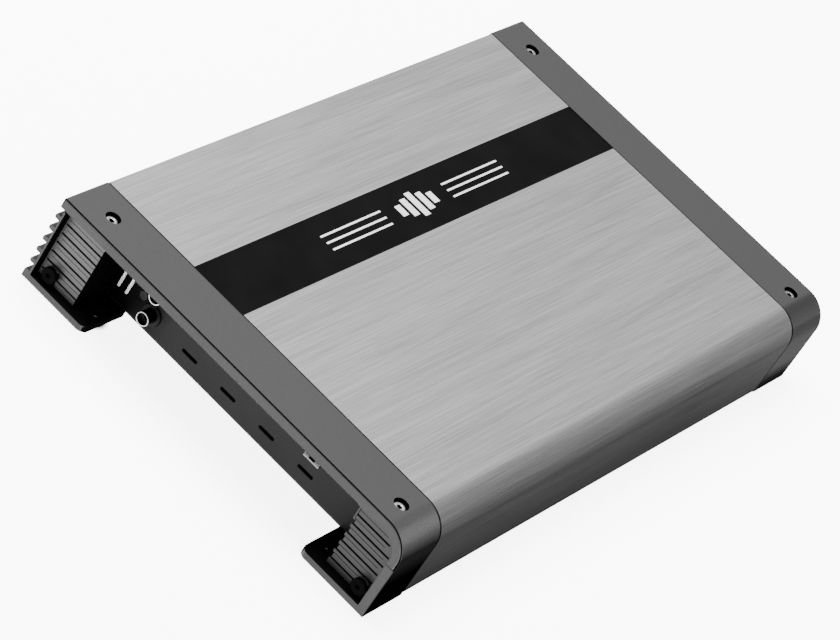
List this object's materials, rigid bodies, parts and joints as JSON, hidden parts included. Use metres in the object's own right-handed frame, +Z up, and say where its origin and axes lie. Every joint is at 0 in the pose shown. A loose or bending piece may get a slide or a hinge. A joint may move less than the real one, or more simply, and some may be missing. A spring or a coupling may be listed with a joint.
{
  "type": "car amplifier",
  "caption": "Low finned in-vehicle audio amplifier with a rounded brushed cover, removable end caps over recessed terminals, and feet with bolt holes.",
  "frame": {"origin": "centre of the footprint on the plane that the four feet stand on", "axes": "+X along the body from the input end to the power end, +Y from the rounded front edge to the ribbed back, +Z up"},
  "size_m": [0.435, 0.257, 0.0562],
  "materials": {
    "brushed_aluminium": "brushed lengthwise, clear anodised",
    "black_band": "smooth black strip",
    "silver_print": "thin bright inlay",
    "sink_aluminium": "extruded, sand-blasted, grey anodised",
    "cap_aluminium": "sand-blasted, dark grey anodised",
    "painted_steel": "fine matt paint",
    "bright_steel": "zinc-plated",
    "black_steel": "black oxide",
    "black_plastic": "moulded",
    "shell_metal": "nickel-plated",
    "contact_gold": "gold-flashed",
    "light_pipe": "clear moulded",
    "pot_plastic": "moulded",
    "board_green": "solder mask over glass epoxy",
    "brass": "machined",
    "plain_aluminium": "as sawn",
    "pad_grey": "silicone sheet",
    "ferrite": "pressed powder core",
    "core_green": "coated powder core",
    "enamel_copper": "enamelled copper wire",
    "can_blue": "sleeved aluminium can",
    "fuse_green": "clear coloured plastic"
  },
  "bodies": {
    "chassis": {"top_cover": "brushed_aluminium", "nameplate_band": "black_band", "emblem": "silver_print", "heatsink": "sink_aluminium", "end_cap_input": "cap_aluminium", "end_cap_power": "cap_aluminium", "foot_front_input": "cap_aluminium", "foot_rear_input": "cap_aluminium", "foot_front_power": "cap_aluminium", "foot_rear_power": "cap_aluminium", "bottom_plate": "painted_steel", "input_panel": "painted_steel", "power_panel": "painted_steel", "cap_screws": "bright_steel", "foot_screws": "black_steel", "bottom_screws": "black_steel", "m3_screws": "bright_steel", "rca_block": "black_plastic", "rca_shells": "shell_metal", "rca_insulators": "black_plastic", "rca_contacts": "contact_gold", "remote_jack": "shell_metal", "jack_contacts": "contact_gold", "status_lights": "light_pipe", "pot_bodies": "pot_plastic", "switch_bodies": "bright_steel", "control_board": "board_green", "main_board": "board_green", "board_standoffs": "brass", "heat_bars": "plain_aluminium", "device_screws": "bright_steel", "insulator_pads": "pad_grey", "transistors": "black_plastic", "clamp_bars": "bright_steel", "toroid_core": "core_green", "toroid_winding": "enamel_copper", "inductor_cores": "ferrite", "inductor_windings": "enamel_copper", "capacitors": "can_blue", "control_ics": "black_plastic", "power_block": "black_plastic", "power_clamps": "brass", "speaker_block": "black_plastic", "speaker_clamps": "brass", "fuse_holder": "black_plastic"},
    "gain": {"gain_knob": "black_plastic"},
    "lowpass": {"lowpass_knob": "black_plastic"},
    "subsonic": {"subsonic_knob": "black_plastic"},
    "bass": {"bass_knob": "black_plastic"},
    "phase_switch": {"phase_lever": "black_plastic"},
    "filter_switch": {"filter_lever": "black_plastic"},
    "ground_clamp": {"ground_screw": "bright_steel"},
    "turn_on_clamp": {"turn_on_screw": "bright_steel"},
    "battery_clamp": {"battery_screw": "bright_steel"},
    "speaker_clamp_1": {"speaker_screw_1": "bright_steel"},
    "speaker_clamp_2": {"speaker_screw_2": "bright_steel"},
    "speaker_clamp_3": {"speaker_screw_3": "bright_steel"},
    "speaker_clamp_4": {"speaker_screw_4": "bright_steel"},
    "fuse_left": {"fuse_a": "fuse_green"},
    "fuse_right": {"fuse_b": "fuse_green"}
  },
  "joints": [
    {"name": "gain_turn", "type": "hinge", "parent": "chassis", "child": "gain", "pos_m": [-0.1885, 0.0295, 0.0375], "axis": [-1, 0, 0], "range_deg": [-150, 150]},
    {"name": "lowpass_turn", "type": "hinge", "parent": "chassis", "child": "lowpass", "pos_m": [-0.1885, 0.0095, 0.0375], "axis": [-1, 0, 0], "range_deg": [-150, 150]},
    {"name": "subsonic_turn", "type": "hinge", "parent": "chassis", "child": "subsonic", "pos_m": [-0.1885, -0.0105, 0.0375], "axis": [-1, 0, 0], "range_deg": [-150, 150]},
    {"name": "bass_turn", "type": "hinge", "parent": "chassis", "child": "bass", "pos_m": [-0.1885, -0.0305, 0.0375], "axis": [-1, 0, 0], "range_deg": [-150, 150]},
    {"name": "phase_switch_slide", "type": "slide", "parent": "chassis", "child": "phase_switch", "axis": [0, 1, 0], "range_m": [-0.002, 0.002]},
    {"name": "filter_switch_slide", "type": "slide", "parent": "chassis", "child": "filter_switch", "axis": [0, 1, 0], "range_m": [-0.002, 0.002]},
    {"name": "ground_clamp_turn", "type": "hinge", "parent": "chassis", "child": "ground_clamp", "pos_m": [0.1875, -0.0705, 0.025], "axis": [0, 0, -1], "range_deg": [0, 720]},
    {"name": "turn_on_clamp_turn", "type": "hinge", "parent": "chassis", "child": "turn_on_clamp", "pos_m": [0.1875, -0.0525, 0.025], "axis": [0, 0, -1], "range_deg": [0, 720]},
    {"name": "battery_clamp_turn", "type": "hinge", "parent": "chassis", "child": "battery_clamp", "pos_m": [0.1875, -0.0345, 0.025], "axis": [0, 0, -1], "range_deg": [0, 720]},
    {"name": "speaker_clamp_1_turn", "type": "hinge", "parent": "chassis", "child": "speaker_clamp_1", "pos_m": [0.1875, 0.0235, 0.025], "axis": [0, 0, -1], "range_deg": [0, 720]},
    {"name": "speaker_clamp_2_turn", "type": "hinge", "parent": "chassis", "child": "speaker_clamp_2", "pos_m": [0.1875, 0.0375, 0.025], "axis": [0, 0, -1], "range_deg": [0, 720]},
    {"name": "speaker_clamp_3_turn", "type": "hinge", "parent": "chassis", "child": "speaker_clamp_3", "pos_m": [0.1875, 0.0515, 0.025], "axis": [0, 0, -1], "range_deg": [0, 720]},
    {"name": "speaker_clamp_4_turn", "type": "hinge", "parent": "chassis", "child": "speaker_clamp_4", "pos_m": [0.1875, 0.0655, 0.025], "axis": [0, 0, -1], "range_deg": [0, 720]},
    {"name": "fuse_left_pull", "type": "slide", "parent": "chassis", "child": "fuse_left", "axis": [1, 0, 0], "range_m": [0, 0.012]},
    {"name": "fuse_right_pull", "type": "slide", "parent": "chassis", "child": "fuse_right", "axis": [1, 0, 0], "range_m": [0, 0.012]}
  ]
}
